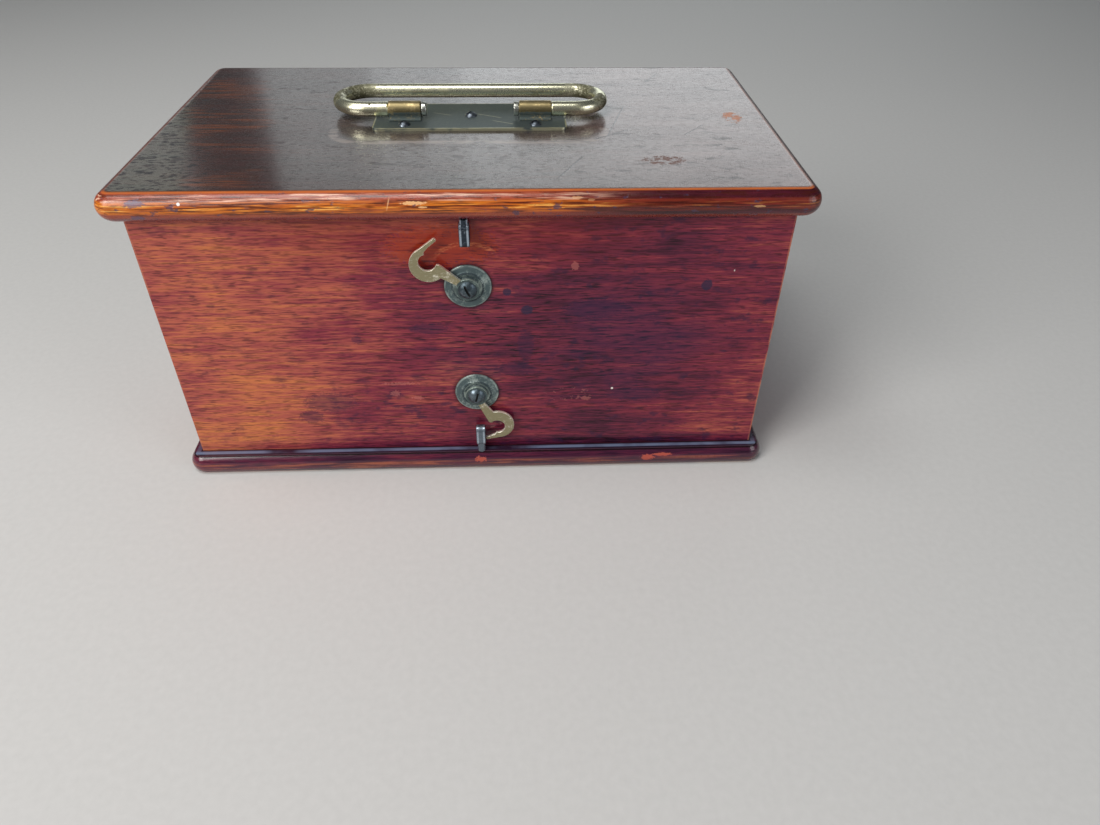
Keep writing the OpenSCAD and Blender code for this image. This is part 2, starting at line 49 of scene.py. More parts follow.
class Link:
    """A value in a tree of nodes. Arithmetic on it adds Math nodes."""

    def __init__(self, tree, socket):
        self.tree, self.socket = tree, socket

    def maths(self, operation, *values):
        node = self.tree.nodes.new("ShaderNodeMath")
        node.operation = operation
        for socket, value in zip(node.inputs, values):
            if isinstance(value, Link):
                self.tree.links.new(value.socket, socket)
            else:
                socket.default_value = value
        return Link(self.tree, node.outputs[0])

    def __add__(self, other):
        return self.maths("ADD", self, other)

    def __sub__(self, other):
        return self.maths("SUBTRACT", self, other)

    def __rsub__(self, other):
        return self.maths("SUBTRACT", other, self)

    def __mul__(self, other):
        return self.maths("MULTIPLY", self, other)

    def __truediv__(self, other):
        return self.maths("DIVIDE", self, other)

    def __pow__(self, other):
        return self.maths("POWER", self, other)

    def __abs__(self):
        return self.maths("ABSOLUTE", self)

    __radd__ = __add__
    __rmul__ = __mul__

    def least(self, other):
        return self.maths("MINIMUM", self, other)

    def most(self, other):
        return self.maths("MAXIMUM", self, other)

    def past(self, low, high):
        """0 at low and 1 at high, with a soft step between them. low may be the larger."""
        node = self.tree.nodes.new("ShaderNodeMapRange")
        node.interpolation_type = "SMOOTHSTEP"
        self.tree.links.new(self.socket, node.inputs["Value"])
        node.inputs["From Min"].default_value = low
        node.inputs["From Max"].default_value = high
        return Link(self.tree, node.outputs["Result"])

    def band(self, low, high, soft):
        """1 between low and high, fading out over soft on both sides."""
        return self.past(low - soft, low) * self.past(high + soft, high)


def strongest(links):
    """The largest of several values at each point."""
    return functools.reduce(Link.most, links)


def distance(u, v):
    """Length of the sum of two steps at right angles."""
    return (u ** 2 + v ** 2) ** 0.5


class Bench:
    """Lays out one tree of nodes."""

    def __init__(self, tree):
        self.tree = tree

    def node(self, kind, settings=None, values=None, out=0):
        node = self.tree.nodes.new(kind)
        for name, value in (settings or {}).items():
            if name == "stops":
                ramp = node.color_ramp
                while len(ramp.elements) < len(value):
                    ramp.elements.new(0.5)
                for stop, (place, colour) in zip(ramp.elements, value):
                    stop.position, stop.color = place, colour
            elif name == "curve":
                points = node.mapping.curves[0].points
                while len(points) < len(value):
                    points.new(0.5, 0.5)
                for point, place in zip(points, value):
                    point.location = place
                    point.handle_type = "VECTOR"
                node.mapping.update()
            else:
                setattr(node, name, value)
        for name, value in (values or {}).items():
            if isinstance(value, Link):
                self.tree.links.new(value.socket, node.inputs[name])
            else:
                node.inputs[name].default_value = value
        return Link(self.tree, node.outputs[out]) if node.outputs else None

    def split(self, vector):
        """The X, Y and Z of a vector."""
        parts = self.node("ShaderNodeSeparateXYZ", None, {0: vector}).socket.node.outputs
        return [Link(self.tree, part) for part in parts]

    def join(self, x, y, z):
        return self.node("ShaderNodeCombineXYZ", None, {0: x, 1: y, 2: z})

    def scaled(self, at, sizes, shift=(0, 0, 0)):
        return self.node(
            "ShaderNodeMapping", None, {"Vector": at, "Location": shift, "Scale": sizes})

    def noise(self, at, scale=1.0, detail=2.0, rough=0.5, bend=0.0):
        return self.node("ShaderNodeTexNoise", None, {
            "Vector": at, "Scale": scale, "Detail": detail, "Roughness": rough,
            "Distortion": bend})

    # A Mix node's sockets go by number, as their names repeat for each kind of data

    def mix(self, mask, under, over):
        """Two colours, the second where mask is 1."""
        return self.node("ShaderNodeMix", {"data_type": "RGBA"}, {0: mask, 6: under, 7: over}, 2)

    def choose(self, mask, under, over):
        """Two places, the second where mask is 1."""
        return self.node("ShaderNodeMix", {"data_type": "VECTOR"}, {0: mask, 4: under, 5: over}, 1)


def paint(red, green, blue):
    """A colour from its everyday 0 to 255 values."""
    return tuple(
        (c / 12.92 if c <= 0.04045 else ((c + 0.055) / 1.055) ** 2.4)
        for c in (red / 255, green / 255, blue / 255)) + (1.0,)


class Finish(Bench):
    """A material laid out in millimetres of the box."""

    def __init__(self, name):
        self.material = bpy.data.materials.new(name)
        self.material.use_nodes = True
        super().__init__(self.material.node_tree)
        self.tree.nodes.clear()
        self.at = self.scaled(self.node("ShaderNodeTexCoord", out="Object"), [1 / MM] * 3)
        self.x, self.y, self.z = self.split(self.at)
        self.torn = None

    def patchy(self, per_mm, shift=(0, 0, 0), detail=2, rough=0.5):
        """Noise with this many changes to the millimetre along X, Y and Z."""
        return self.noise(self.scaled(self.at, per_mm, shift), 1, detail, rough)

    def spot(self, u, v, centre, radii, ragged=0.0):
        """A patch round a centre in the plane of u and v, torn at its edge."""
        away = ((u - centre[0]) / radii[0]) ** 2 + ((v - centre[1]) / radii[1]) ** 2
        if ragged:
            if self.torn is None:
                self.torn = self.patchy((0.8, 0.8, 1.4), detail=3, rough=0.6) - 0.5
            away = away + self.torn * ragged
        return away.past(1.25, 0.7)

    def spots(self, u, v, marks):
        """Several patches: for each its centre, radii, how torn it is, and a share if not 1."""
        patches = []
        for centre, radii, ragged, *share in marks:
            patch = self.spot(u, v, centre, radii, ragged)
            patches.append(patch * share[0] if share else patch)
        return strongest(patches)

    def scratch_line(self, u, v, start, end, wide=0.4):
        """A thin straight scratch from start to end."""
        run = math.dist(start, end)
        cu, cv = (end[0] - start[0]) / run, (end[1] - start[1]) / run
        far = (u - start[0]) * cu + (v - start[1]) * cv
        off = abs((v - start[1]) * cu - (u - start[0]) * cv)
        return off.past(wide, wide * 0.3) * far.band(0, run, 2)

    def finish(self, colour, roughness, height=None, depth=0.05, metal=0.0, coat=0.0, **fixed):
        """The surface. depth is the relief, in millimetres, of a height from 0 to 1."""
        values = {
            "Base Color": colour, "Roughness": roughness, "Metallic": metal, "Coat Weight": coat}
        values.update({name.replace("_", " "): value for name, value in fixed.items()})
        if height is not None:
            values["Normal"] = self.node("ShaderNodeBump", None, {
                "Strength": 1.0, "Distance": depth * MM, "Height": height})
        surface = self.node("ShaderNodeBsdfPrincipled", None, values)
        self.node("ShaderNodeOutputMaterial", None, {"Surface": surface})
        return self.material


# ---- sizes read from the frame, in millimetres ----

def size_of(*names):
    """Lowest and highest corner of some nodes, in millimetres."""
    corners = [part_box(name) for name in names]
    low = [min(c[0][i] for c in corners) / MM for i in range(3)]
    high = [max(c[1][i] for c in corners) / MM for i in range(3)]
    return low, high


def front_middle(name):
    """The middle of a node seen from the front, as X and Z."""
    low, high = size_of(name)
    return (low[0] + high[0]) / 2, (low[2] + high[2]) / 2


case_low, case_high = size_of("front_board", "back_board", "left_board", "right_board")
lid_low, lid_high = size_of("lid_board")
base_top = size_of("base_board")[1][2]
board_low, board_high = size_of("left_board")
board_t = board_high[0] - board_low[0]
inner_x = case_high[0] - board_t
inner_y = case_high[1] - board_t
washer_low, washer_high = size_of("upper_hook_washer")
washer_r = (washer_high[0] - washer_low[0]) / 2
upper_pivot = front_middle("upper_hook_washer")
lower_pivot = front_middle("lower_hook_washer")
pivots = (upper_pivot, lower_pivot)
hook_face = size_of("upper_hook")[0][1]
screw_face = size_of("upper_hook_screw")[0][1]
plate_high = size_of("handle_plate")[1]
lug_out = size_of("handle_lug_right")[1][0]
bail_low, bail_high = size_of("handle_bail")
rod_r = (bail_high[2] - bail_low[2]) / 2
button_low, button_high = size_of("bail_button_right")
pivot_y = (button_low[1] + button_high[1]) / 2
pivot_z = (button_low[2] + button_high[2]) / 2

# ---- wood ----

DARK = paint(30, 8, 22)
MAROON = paint(88, 29, 54)
RED = paint(132, 45, 62)
ORANGE = paint(181, 91, 74)
AMBER = paint(208, 122, 70)
PLUM = paint(46, 24, 46)
BARE = paint(150, 92, 58)

# Marks on the boards, by X and Z: the middle of each, its radii, how torn it is, and a share
# if it is faint
FRONT_KNOCKS = (
    ((-8.6, 131.9), (2.2, 1.9), 0.9), ((16.7, 103.2), (2.0, 1.9), 0.9),
    ((108.8, 105.6), (2.6, 2.8), 1.6), ((25.8, 93.5), (2.8, 2.4), 1.2))
FRONT_STAINS = (
    ((-73, 41), (13, 6), 3.0), ((-55, 78), (2.4, 2.2), 3.0), ((-84, 32), (6, 4), 3.0),
    ((25, 74), (4, 9), 3.0), ((80, 43), (13, 4), 3.0), ((58, 94), (15, 5), 3.0),
    ((-20, 84), (9, 3), 3.0), ((20, 60), (10, 4), 3.0), ((-34, 36), (3, 3), 3.0))
FRONT_SCUFFS = (
    ((47.6, 116.1), (1.6, 2.2), 3.0), ((-37, 52), (8, 0.9), 6.0), ((-40, 46), (2.4, 1.6), 6.0),
    ((-29, 43), (3.0, 1.0), 6.0), ((55, 41), (2.4, 1.2), 4.0))
FRONT_DOTS = (((68.3, 47.1), (0.6, 0.6), 0.0), ((120.5, 113), (0.3, 0.5), 0.0, 0.7))
PLINTH_MARKS = (
    ((1.0, 6.6), (2.8, 1.6), 5.0), ((89, 6.0), (3.6, 1.6), 4.0), ((97, 7.4), (5.0, 0.8), 3.0))
# Ends of the scratches on the lid, as X and Y
LID_SCRATCHES = (
    ((40, -76), (52, -52)), ((66, -26), (78, 16)), ((60, -30), (76, -18)),
    ((104, -24), (114, -12)), ((-30, -58), (-12, -62)), ((96, 60), (104, 74)),
    ((46, -30), (58, -34)))


class Wood(Finish):
    """Polished mahogany whose grain runs along one axis: 0 for X, 1 for Y."""

    def __init__(self, name, along, seed):
        super().__init__(name)
        self.along = along
        # each board is cut from another place in the same tree
        self.cut = (seed * 7.3, seed * 3.1, seed * 5.7)
        self.figure = self.grain(90, 7, 3, 0.5)
        self.streak = self.grain(30, 1.4, 3, 0.3)
        self.fibre = self.grain(9, 0.5, 2)
        self.pores = self.grain(6, 0.6, 1).past(0.54, 0.68)
        self.dashes = self.grain(9, 0.8, 2, 0.3).past(0.52, 0.68)
        self.cloud = self.patchy((0.03, 0.04, 0.04), (seed, 0, seed))
        self.speck = self.patchy((0.35, 0.35, 0.35), (0, seed, 0), 3)

    def grain(self, length, width, detail, bend=0.0):
        """Noise drawn out along the grain, with its length and width in millimetres."""
        sizes = [1 / width] * 3
        sizes[self.along] = 1 / length
        return self.noise(self.scaled(self.at, sizes, self.cut), 1, detail, 0.5, bend)

    def colour(self, tone, dash=0.5):
        """tone runs from 0 for the darkest maroon to 1 for amber."""
        tone = (
            tone + (self.figure - 0.5) * 0.5 + (self.streak - 0.5) * 0.6
            + (self.fibre - 0.5) * 0.5 + (self.cloud - 0.5) * 0.35)
        ramp = self.node("ShaderNodeValToRGB", {"stops": [
            (0.0, DARK), (0.25, MAROON), (0.5, RED), (0.75, ORANGE), (1.0, AMBER)]}, {"Fac": tone})
        return self.mix((self.dashes * dash).most(self.pores * 0.56), ramp, DARK)

    def bare(self):
        """Unpolished wood of the inside."""
        tone = (self.figure + self.streak + self.cloud) / 3
        return self.mix(
            self.pores * 0.5 + self.fibre * 0.3, self.mix(tone, paint(120, 70, 44), BARE),
            paint(74, 40, 26))

    def polish(self, colour, worn, shine, dull=0.0, inside=None, relief=0.0, thin=0.0):
        """French polish over a colour, thinner where it is worn and missing inside the box."""
        roughness = 0.22 + (self.speck - 0.5) * 0.16 + worn * 0.20 + dull
        coat = (1 - worn).most(0.0) * shine * (1 - thin)
        if inside is not None:
            colour = self.mix(inside, colour, self.bare())
            roughness = roughness + inside * 0.35
            coat = coat * (1 - inside)
        height = 0.5 + (self.fibre - 0.5) * 0.25 - self.pores * 0.35 + relief
        return self.finish(
            colour, roughness, height, 0.06, coat=coat, Coat_Roughness=0.14,
            Specular_IOR_Level=0.2 + shine * 0.5)


def front_wear(f, colour, relief):
    """Knocks, stains, scuffs and wear round the hooks. Gives the new colour, relief and wear."""
    x, z = f.x, f.z
    top = case_high[2]
    knocks = f.spots(x, z, FRONT_KNOCKS)
    colour = f.mix(knocks * 0.82, colour, paint(40, 34, 62))
    stain = f.spots(x, z, FRONT_STAINS)
    colour = f.mix(stain * (0.3 + f.speck * 0.3), colour, paint(48, 24, 58))
    speckled = f.spot(x, z, (46, 44), (11, 4), 1.5) * f.speck.past(0.55, 0.64) * 0.9
    scuff = f.spots(x, z, FRONT_SCUFFS).most(speckled)
    # the arc that the upper hook's point has worn, above its screw
    lines = distance(x - upper_pivot[0], z - upper_pivot[1]).band(20.2, 21.4, 0.9)
    lines = lines * abs(x + 1).past(15, 10) * z.past(upper_pivot[1] + 11, upper_pivot[1] + 14)
    lines = lines * f.patchy((0.24, 0.6, 1.1), detail=4, rough=0.7).past(0.44, 0.60)
    # the polish is redder under the lid, and orange where it is rubbed round the upper eye
    warm = z.past(top - 34, top - 6) * abs(x + 10).past(110, 40)
    colour = f.mix(warm * 0.36, colour, paint(122, 26, 4))
    patch = f.spot(x, z, (-12, 126), (24, 10), 3.6) * (1 - f.dashes * 0.8)
    colour = f.mix(patch * 0.6, colour, paint(164, 56, 14))
    colour = f.mix(lines * 0.62, colour, paint(222, 128, 84))
    colour = f.mix(scuff * 0.42, colour, paint(190, 112, 104))
    dot = f.spots(x, z, FRONT_DOTS)
    colour = f.mix(dot, colour, paint(232, 224, 218))
    # dirt and painted shade gather round the washers
    for pivot in pivots:
        away = distance(x - pivot[0], z - pivot[1]) - washer_r
        colour = f.mix(away.past(2.2, 0.0) * 0.55, colour, DARK)
    return colour, relief - knocks * 1.4 - lines * 0.6, scuff.most(lines).most(dot)


def case_finish(name, along, seed, in_front=False):
    """One of the four boards. The front board also has its marks and its wear round the hooks."""
    f = Wood(name, along, seed)
    x, y, z = f.x, f.y, f.z
    foot, top = case_low[2], case_high[2]
    # flat runs from -1 at the left to 1 at the right
    flat = (y if along else x) / case_high[along]
    # paler at the left and in the corners of the foot, darker right of the middle and at the foot;
    # the change from left to right is partly painted light from the left
    tone = (
        0.48 + flat.past(-0.15, -0.80) * 0.27 - flat.past(0.0, 0.4) * 0.16
        + f.spot(flat, z, (-0.78, foot + 20), (0.34, 30), 0.8) * 0.05
        + flat.past(0.62, 0.95) * z.past(foot + 70, foot + 15) * 0.14
        + z.past(top - 40, top - 8) * 0.04 - z.past(foot + 7, foot + 1) * 0.18)
    if in_front:
        above = (z - top) / 22
        tone = tone + (((x + 4) / 58) ** 2 + above ** 2).past(1.3, 0.1) * 0.08
    dark_side = (((flat - 0.34) / 0.5) ** 2 + ((z - (foot + top) / 2) / 34) ** 2).past(1.6, 0.3)
    dash = 0.54 + flat.past(-0.6, 0.1) * 0.24 + dark_side * 0.20 - flat.past(0.45, 0.85) * 0.30
    colour = f.colour(tone + flat.past(0.5, 0.9) * 0.09 + (f.cloud - 0.5) * 0.25, dash)
    colour = f.mix(dark_side * f.cloud.past(0.40, 0.62) * 0.42, colour, paint(44, 26, 64))
    # dark bruises, most on the right half
    low_left = (((flat + 0.25) / 0.3) ** 2 + ((z - foot - 28) / 18) ** 2).past(1.5, 0.2)
    bruise = f.patchy((0.12, 0.12, 0.19), (seed, seed, 2), 3, 0.6) + low_left * 0.04
    bruise = bruise.past(0.55, 0.70) * (0.45 + flat.past(-0.3, 0.4).most(low_left) * 0.55)
    colour = f.mix(bruise * 0.62, colour, paint(46, 24, 54))
    relief = bruise * -0.4
    worn = None
    if in_front:
        colour, relief, worn = front_wear(f, colour, relief)
    # the upright corners are rubbed pale
    wide, deep = case_high[:2]
    brightened = abs(x).past(wide - 0.9, wide - 0.3) * abs(y).past(deep - 0.9, deep - 0.3)
    brightened = brightened * f.patchy((0.5, 0.5, 0.09)).past(0.34, 0.56)
    colour = f.mix(brightened * 0.7, colour, paint(188, 118, 92))
    worn = brightened if worn is None else worn.most(brightened)
    inside = abs(x).past(inner_x + 0.3, inner_x + 0.1) * abs(y).past(inner_y + 0.3, inner_y + 0.1)
    return f.polish(colour, worn, shine=0.10, inside=inside, relief=relief)


def lid_finish():
    f = Wood("lid mahogany", 0, 4.0)
    x, y, z = f.x, f.y, f.z
    top, low = lid_high[2], lid_low[2]
    flat = z.past(top - 0.30, top - 0.04)
    # the edge is painted darker towards the right as shade
    colour = f.colour(0.60 - flat * 0.2 - x.past(20, 80) * (1 - flat) * 0.40)
    colour = f.mix(flat * 0.86, colour, paint(40, 29, 17))
    # bloom in the polish with a painted reflection over it: flecked at the left, missing in a dark
    # band, then grey, and pale at the right
    fleck = f.grain(4.0, 1.7, 3).past(0.52, 0.62)
    fine = f.grain(3.0, 0.8, 3).past(0.56, 0.68)
    mottle = f.patchy((0.022, 0.035, 0.03), (7, 1, 0), 3)
    skew = x + y * 0.27
    left = skew.past(-118, -134)
    clear = skew.band(-134, -103, 9)
    right = skew.past(-20, 110)
    smear = f.grain(55, 10, 3, 0.4)
    haze_and_reflection = 0.56 + (mottle - 0.5) * 0.6 + (smear - 0.5) * (0.3 + right * 0.9)
    haze_and_reflection = haze_and_reflection + right * 0.24 + left * 0.10
    spots = (fleck * (0.10 + left * 0.80) + fine * (0.60 - right * 0.40)).least(1.0)
    blot = f.patchy((0.09, 0.19, 0.1), (3, 9, 0), 4, 0.65).past(0.58, 0.68)
    haze_and_reflection = ((haze_and_reflection - spots * 0.6 - blot * 0.4) * (1 - clear * 0.9)).most(0.0).least(1.0)
    bloom_and_reflection_tint = f.mix(right, paint(112, 114, 112), paint(150, 136, 134))
    bloom_and_reflection_tint = f.mix(left, bloom_and_reflection_tint, paint(96, 102, 84))
    # the grey and pale tints are bloom and painted reflection together
    colour = f.mix(flat * haze_and_reflection * 0.62, colour, bloom_and_reflection_tint)
    specks = (spots * (0.66 + left * 0.2)).most(blot * 0.4)
    colour = f.mix(flat * specks, colour, paint(28, 32, 34))
    warm = f.streak.past(0.46, 0.62) * mottle.past(0.45, 0.6)
    colour = f.mix(flat * warm * (clear * 0.5 + 0.06), colour, paint(128, 66, 24))
    # the bail's print where it lies when it is folded to the front
    bend = (bail_high[1] - bail_low[1]) / 2 - rod_r
    ends = bail_high[0] - rod_r - bend
    along = distance((abs(x) - ends).most(0.0), y - pivot_y + bend)
    ring = abs(along - bend).past(3.0, 1.0) * y.past(pivot_y - 8, pivot_y - 13)
    ring = ring * f.patchy((0.09, 0.3, 0.3), (0, 0, 5), 3).past(0.36, 0.56) * flat
    colour = f.mix(ring * 0.4, colour, paint(186, 172, 164))
    # grime and painted shade against the plate
    gap_x = (abs(x) - plate_high[0]).most(0.0)
    gap_y = (abs(y) - plate_high[1]).most(0.0)
    grime_and_shade = distance(gap_x, gap_y).past(8.5, 0.0) * flat
    colour = f.mix(grime_and_shade * 0.78, colour, paint(30, 24, 26))
    # chips and scratches on top
    blobs = f.patchy((0.22, 0.30, 0.3), (2, 0, 0), 4, 0.65).past(0.45, 0.52)
    chip = f.spot(x, y, (88, -57), (10, 5), 3.0) * blobs
    colour = f.mix(chip * flat * 0.8, colour, paint(104, 66, 54))
    bare = f.spot(x, y, (131.8, 0.2), (4.4, 8.0), 3.0) * blobs
    colour = f.mix(bare * flat * 0.8, colour, paint(196, 128, 92))
    chip = chip.most(bare)
    lines = strongest([f.scratch_line(x, y, start, end, 0.5) for start, end in LID_SCRATCHES])
    colour = f.mix(lines * flat * 0.8, colour, paint(34, 28, 34))
    # the edge, painted darker at its right as shade: a worn arris on top, then a rubbed streaky
    # band
    edge = 1 - flat
    front = y.past(lid_low[1] + 10, lid_low[1] + 5)
    right_shade = x.past(20, 84)
    broken = f.patchy((0.035, 0.035, 0.5), (0, 3, 0), 3)
    threads = f.patchy((0.05, 0.05, 1.5), (2, 0, 0), 3, 0.6)
    colour = f.mix(edge * 0.6, colour, f.mix(right_shade, paint(160, 72, 14), paint(58, 6, 4)))
    right_end = x.past(lid_high[0] - 8, lid_high[0] - 4) * (1 - front)
    where = 0.12 + front * 0.88 + right_end * 0.5
    arris = z.band(top - 0.34, top - 0.12, 0.12) * (0.35 + broken * 0.9) * where
    colour = f.mix((arris * 0.95).least(1.0), colour, paint(200, 104, 36))
    middle = (top + low) / 2
    rubbed = z.band(middle - 0.8, middle + 3.2, 0.9)
    rubbed = rubbed * (broken * 0.55 + threads * 0.6).past(0.42, 0.62)
    rubbed = rubbed * (1 - right_shade * 0.6) * (0.3 + front * 0.7)
    colour = f.mix(rubbed * 0.95, colour, f.mix(right_shade, paint(204, 110, 16), paint(156, 56, 6)))
    # pale streaks in the rubbed band, partly wear and partly a painted glint
    bright = z.band(middle + 0.3, middle + 2.2, 0.5)
    bright = bright * threads.past(0.52, 0.62) * broken.past(0.38, 0.54)
    colour = f.mix(bright * front * (1 - right_shade * 0.75) * 0.85, colour, paint(248, 186, 92))
    deep = z.band(middle - 1.8, top - 0.9, 0.6) * threads.past(0.49, 0.40).most(f.dashes * 0.8)
    colour = f.mix(deep * 0.8, colour, paint(66, 20, 10))
    # a painted highlight on the upper part of the edge at the front, fading to the right
    painted_highlight = z.band(top - 2.6, top - 0.9, 0.5) * f.streak.past(0.48, 0.60) * threads.past(0.44, 0.56)
    colour = f.mix(painted_highlight * front * (1 - right_shade) * 0.8, colour, paint(240, 198, 170))
    # the other three sides are duller, and the underside of the edge is painted plum as a
    # reflection of the floor
    hidden = z.past(top - 4.0, top - 1.0) * edge * (1 - front)
    colour = f.mix(hidden * 0.75, colour, paint(64, 46, 42))
    under = z.past(middle - 2.6, middle - 4.2) * edge
    plum = f.mix(right_shade, paint(104, 42, 58), paint(150, 62, 38))
    colour = f.mix(under * (0.72 - f.dashes * 0.4), colour, plum)
    # nicks all round, and chips, a spot of white and a bruise at the front
    nick = f.patchy((0.2, 0.2, 0.42), (5, 5, 5), 3).past(0.64, 0.71)
    nick = nick * z.band(middle - 4, top - 0.6, 0.5)
    colour = f.mix(nick * 0.75, colour, paint(66, 54, 78))
    chips = (
        f.spot(x, z, (-21, middle + 2.7), (5.0, 0.7), 4.0)
        .most(f.spot(x, z, (-17, middle + 1.1), (1.8, 0.4), 2.0))
        .most(f.scratch_line(x, z, (-31.6, middle + 1.0), (-31, middle + 3.4), 0.34) * 0.6)
        .most(f.spot(x, z, (47, top - 2.3), (2.2, 0.6), 3.0) * 0.4)
        .most(f.spot(x, z, (53, top - 3.0), (1.5, 0.5), 3.0) * 0.3)
        .most(f.spot(x, z, (124, middle + 0.4), (2.6, 0.5), 2.0) * 0.6)) * front
    colour = f.mix(chips * 0.8, colour, paint(236, 184, 126))
    dot = f.spot(x, z, (-116, middle + 2.9), (0.7, 0.6)) * front
    colour = f.mix(dot, colour, paint(236, 234, 230))
    bruise = f.spots(x, z, (
        ((-134, middle + 3.0), (4, 1.4), 3.0), ((-134, middle - 3.0), (3, 1.0), 3.0)))
    colour = f.mix(bruise * front * 0.7, colour, paint(72, 66, 100))
    inside = z.past(low + 0.3, low + 0.1)
    inside = inside * abs(x).past(inner_x + 1, inner_x) * abs(y).past(inner_y + 1, inner_y)
    worn = arris.most(rubbed * 0.5).most(chip * flat).most(chips).least(1.0)
    relief = (
        (mottle - 0.5) * 0.25 - chip * 0.7 - nick * 1.0 - chips * 1.2 - lines * flat * 0.8
        - blot * 0.2)
    matt = flat * ((1 - clear) * 0.03 + spots * 0.14 + blot * 0.10) + ring * 0.1
    return f.polish(
        colour, worn.most(spots * flat * 0.5), shine=0.55, dull=matt + edge * 0.05,
        inside=inside, relief=relief, thin=edge * 0.8)


def base_finish():
    f = Wood("plinth mahogany", 0, 9.0)
    x, y, z = f.x, f.y, f.z
    front = y.past(case_low[1], case_low[1] - 2)
    colour = f.colour(0.30 + x.past(-60, -140) * 0.14 - x.past(0, 60) * 0.05)
    colour = f.mix(0.48, colour, PLUM)
    broken = f.patchy((0.03, 0.03, 0.5), (0, 8, 0), 3)
    threads = f.patchy((0.06, 0.06, 1.7), (4, 0, 0), 3)
    rubbed = z.band(2.2, 6.0, 0.9) * (broken * 0.6 + threads * 0.5).past(0.50, 0.70)
    rubbed = rubbed * (1 - x.past(0, 60) * 0.4)
    colour = f.mix(rubbed * 0.7, colour, paint(176, 96, 62))
    # the quirk under the ledge is painted near black as shade
    step = z.band(base_top - 1.0, base_top - 0.62, 0.16)
    colour = f.mix(step * 0.85, colour, paint(20, 8, 12))
    # the ledge round the case is blue-black as a painted reflection of the sky, with a pale blue
    # band in its middle that is dust and painted sky reflection, and it is dark at the joint
    out_x = abs(x) - case_high[0]
    out_y = abs(y) - case_high[1]
    out = out_x.most(out_y)
    level = z.past(base_top - 0.3, base_top - 0.1)
    colour = f.mix(level * (0.3 + front * 0.45), colour, paint(24, 28, 46))
    dust_and_reflection = level * (0.3 + front * 0.7) * out.band(1.2, 2.8, 0.7) * broken.past(0.34, 0.50)
    colour = f.mix(dust_and_reflection * 0.6, colour, paint(132, 148, 178))
    joint = out.past(1.2, 0.2) * level
    colour = f.mix(joint * 0.85, colour, paint(18, 8, 12))
    foot = z.past(1.1, 0.3) * broken.past(0.36, 0.54)
    colour = f.mix(foot * 0.7, colour, paint(206, 168, 136))
    marks = f.spots(x, z, PLINTH_MARKS) * front
    colour = f.mix(marks * 0.7, colour, paint(196, 92, 70))
    # bare wood under the case and under the plinth
    under = z.past(0.15, 0.02)
    inside = level * abs(x).past(case_high[0] + 0.1, case_high[0] - 0.2)
    inside = (inside * abs(y).past(case_high[1] + 0.1, case_high[1] - 0.2)).most(under)
    worn = (rubbed * 0.5).most(foot).most(marks)
    return f.polish(colour, worn, shine=0.4, inside=inside, relief=marks * -0.8)


def till_finish():
    f = Wood("till mahogany", 0, 14.0)
    stain = f.patchy((0.03, 0.03, 0.03), detail=3).past(0.5, 0.66)
    colour = f.mix(stain * 0.35, f.bare(), paint(84, 50, 34))
    height = 0.5 + (f.fibre - 0.5) * 0.3 - f.pores * 0.4
    return f.finish(colour, 0.58 + (f.speck - 0.5) * 0.2, height, 0.07)


# ---- metal ----

class Metal(Finish):
    """Old metal: base colour, dark tarnish in clouds, fine scratches."""

    def __init__(self, name, seed):
        super().__init__(name)
        self.cloud = self.patchy((0.16, 0.16, 0.16), (seed, 0, seed), 4, 0.6)
        self.speck = self.patchy((1.1, 1.1, 1.1), (0, seed, seed), 3, 0.6)
        self.pits = self.patchy((2.6, 2.6, 2.6), (seed, seed, 0))
        self.scratch = self.patchy((0.5, 5.0, 2.6), (seed, 3, 0))

    def aged(
            self, bright, dull, patina, tarnish=0.5, green=0.0, brightened=0.0, rough=0.3, metal=0.95,
            relief=0.02):
        """tarnish is the share gone dull, green adds patina, and brightened is the share kept
        bright: polished by use, and a painted highlight on the edges of the hooks and eyes.
        """
        gone = self.cloud + (self.speck - 0.5) * 0.5 + (tarnish - 0.5) * 1.2
        gone = (gone.past(0.36, 0.66) - brightened).most(0.0)
        colour = self.mix(gone, bright, dull)
        crust = (self.speck * 0.6 + self.cloud * 0.5 + green - 0.5).past(0.30, 0.52)
        crust = (crust - brightened).most(0.0)
        colour = self.mix(crust, colour, patina)
        colour = self.mix(self.scratch.past(0.60, 0.70) * 0.25, colour, bright)
        roughness = rough + gone * 0.16 + crust * 0.22 + (self.pits - 0.5) * 0.14
        height = 0.5 + (self.pits - 0.5) * 0.5 + (self.speck - 0.5) * 0.5
        return self.finish(
            colour, roughness, height, relief, metal=(1 - crust * 0.75) * metal)


def bail_finish():
    f = Metal("drop handle brass", 2.0)
    x, y, z = f.x, f.y, f.z
    back = bail_high[1]
    grip = y.past(back - 8.5, back - 5.0) * abs(x).past(60, 44)
    patches = f.spots(x, y, (
        ((-56, back - 6), (9, 7), 3.0), ((-66, 10), (5, 9), 3.0),
        ((57, back - 5), (10, 7), 3.0), ((62, 3), (8, 6), 3.0)))
    dot = f.spot(x, y, (-48.5, pivot_y - 1.5), (0.7, 0.9)) * z.past(pivot_z, pivot_z + 0.5)
    below = z.past(pivot_z - 0.6, pivot_z - 2.4)
    return f.aged(
        paint(236, 234, 204), paint(184, 182, 144), paint(80, 78, 52), tarnish=0.40,
        green=patches * 0.44 + dot * 0.6 + below * 0.06, brightened=grip * 0.5, rough=0.28, metal=0.98,
        relief=0.012)


